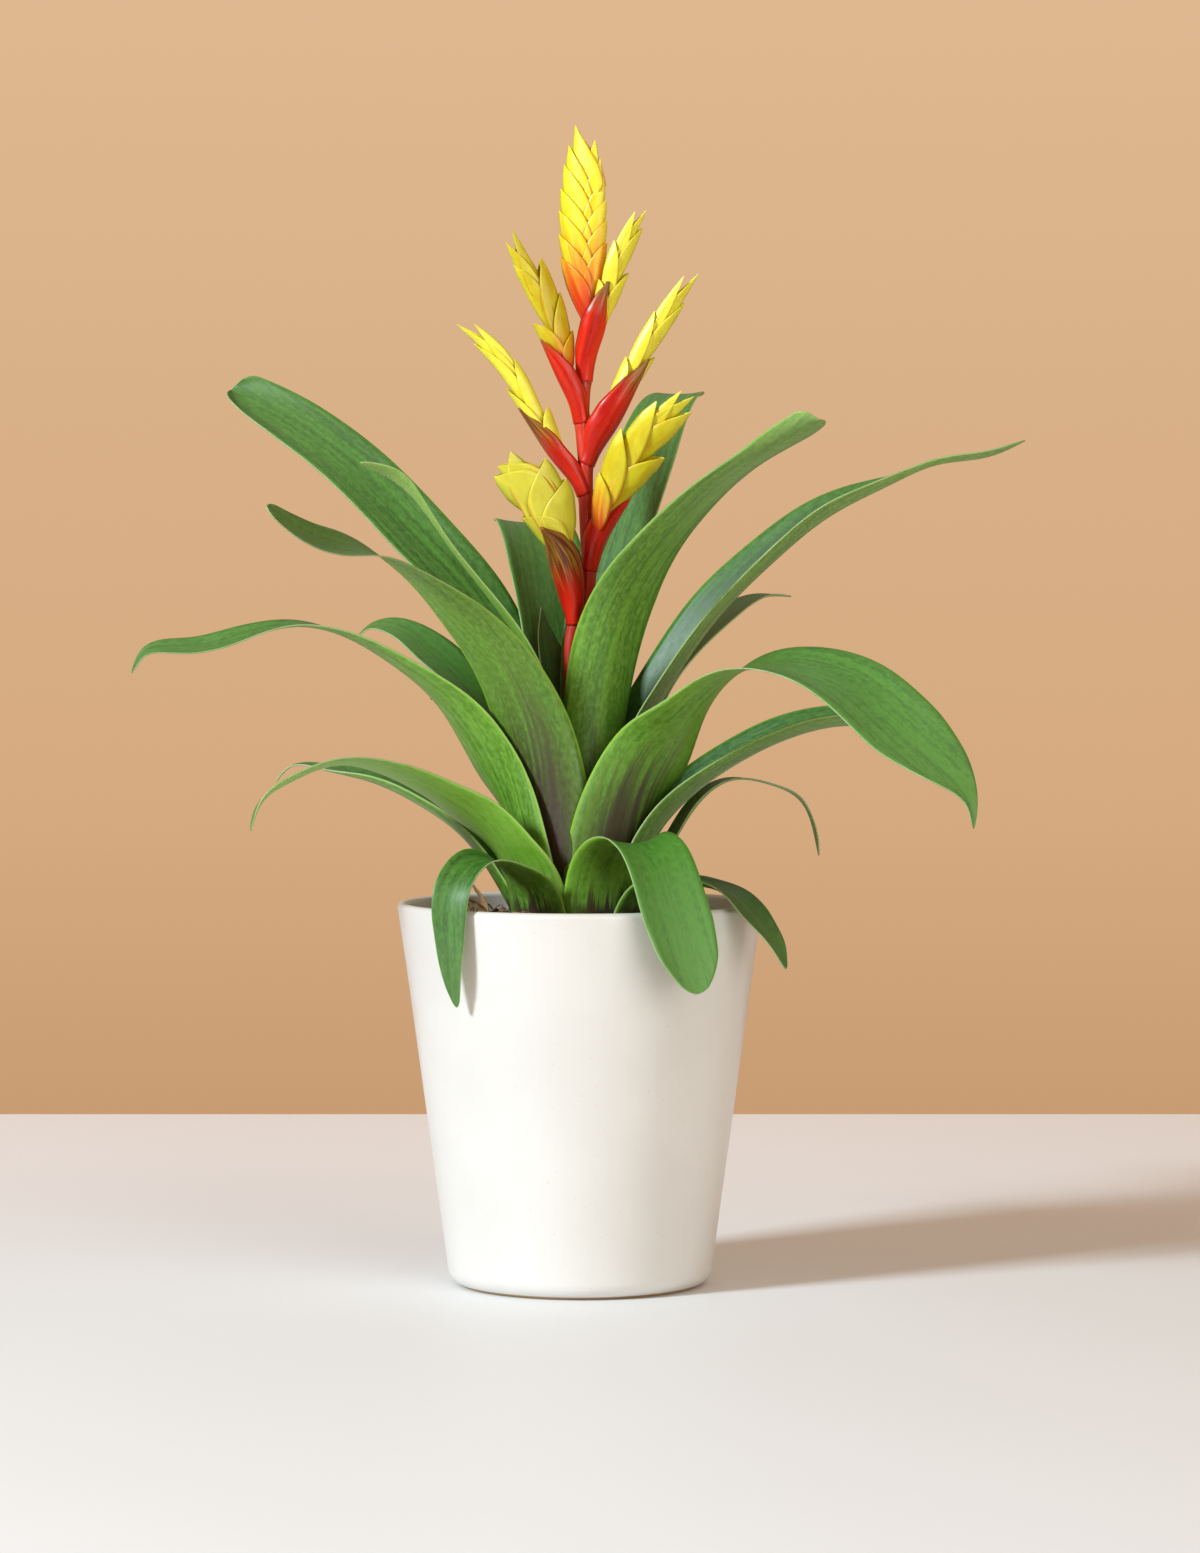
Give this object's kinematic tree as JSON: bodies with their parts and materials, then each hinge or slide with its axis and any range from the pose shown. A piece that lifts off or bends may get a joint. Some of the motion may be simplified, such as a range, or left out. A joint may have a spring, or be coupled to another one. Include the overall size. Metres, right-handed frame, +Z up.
{
  "type": "potted plant",
  "caption": "Bromeliad in a flared round ceramic pot: a rosette of arching strap leaves on dark soil, and an upright red stem with flattened yellow and red flower spikes.",
  "frame": {"origin": "centre of the pot's flat foot, on the surface it stands on", "axes": "+Z up along the pot's axis; -Y towards the side the flowers face; +X to the right seen from there"},
  "size_m": [0.3414, 0.2454, 0.444],
  "materials": {
    "glaze": "satin",
    "soil": "matte",
    "leaf": "satin",
    "stem": "satin",
    "bract": "satin",
    "spike": "satin",
    "dry_sheath": "matte"
  },
  "bodies": {
    "root": {"pot": "glaze", "soil": "soil", "leaf_01": "leaf", "leaf_02": "leaf", "leaf_03": "leaf", "leaf_04": "leaf", "leaf_05": "leaf", "leaf_06": "leaf", "leaf_07": "leaf", "leaf_08": "leaf", "leaf_09": "leaf", "leaf_10": "leaf", "leaf_11": "leaf", "leaf_12": "leaf", "leaf_13": "leaf", "leaf_14": "leaf", "leaf_15": "leaf", "leaf_16": "leaf", "leaf_17": "leaf", "leaf_18": "leaf", "leaf_19": "leaf", "leaf_20": "leaf", "leaf_21": "leaf", "leaf_22": "leaf", "leaf_23": "leaf", "flower_stem": "stem", "bract_1": "bract", "bract_2": "bract", "bract_3": "bract", "bract_4": "bract", "bract_5": "bract", "bract_6": "bract", "spike_1": "spike", "spike_2": "spike", "spike_3": "spike", "spike_4": "spike", "spike_5": "spike", "spike_6": "spike", "spike_7": "spike", "dry_sheath_1": "dry_sheath", "dry_sheath_2": "dry_sheath", "dry_sheath_3": "dry_sheath"}
  },
  "joints": []
}
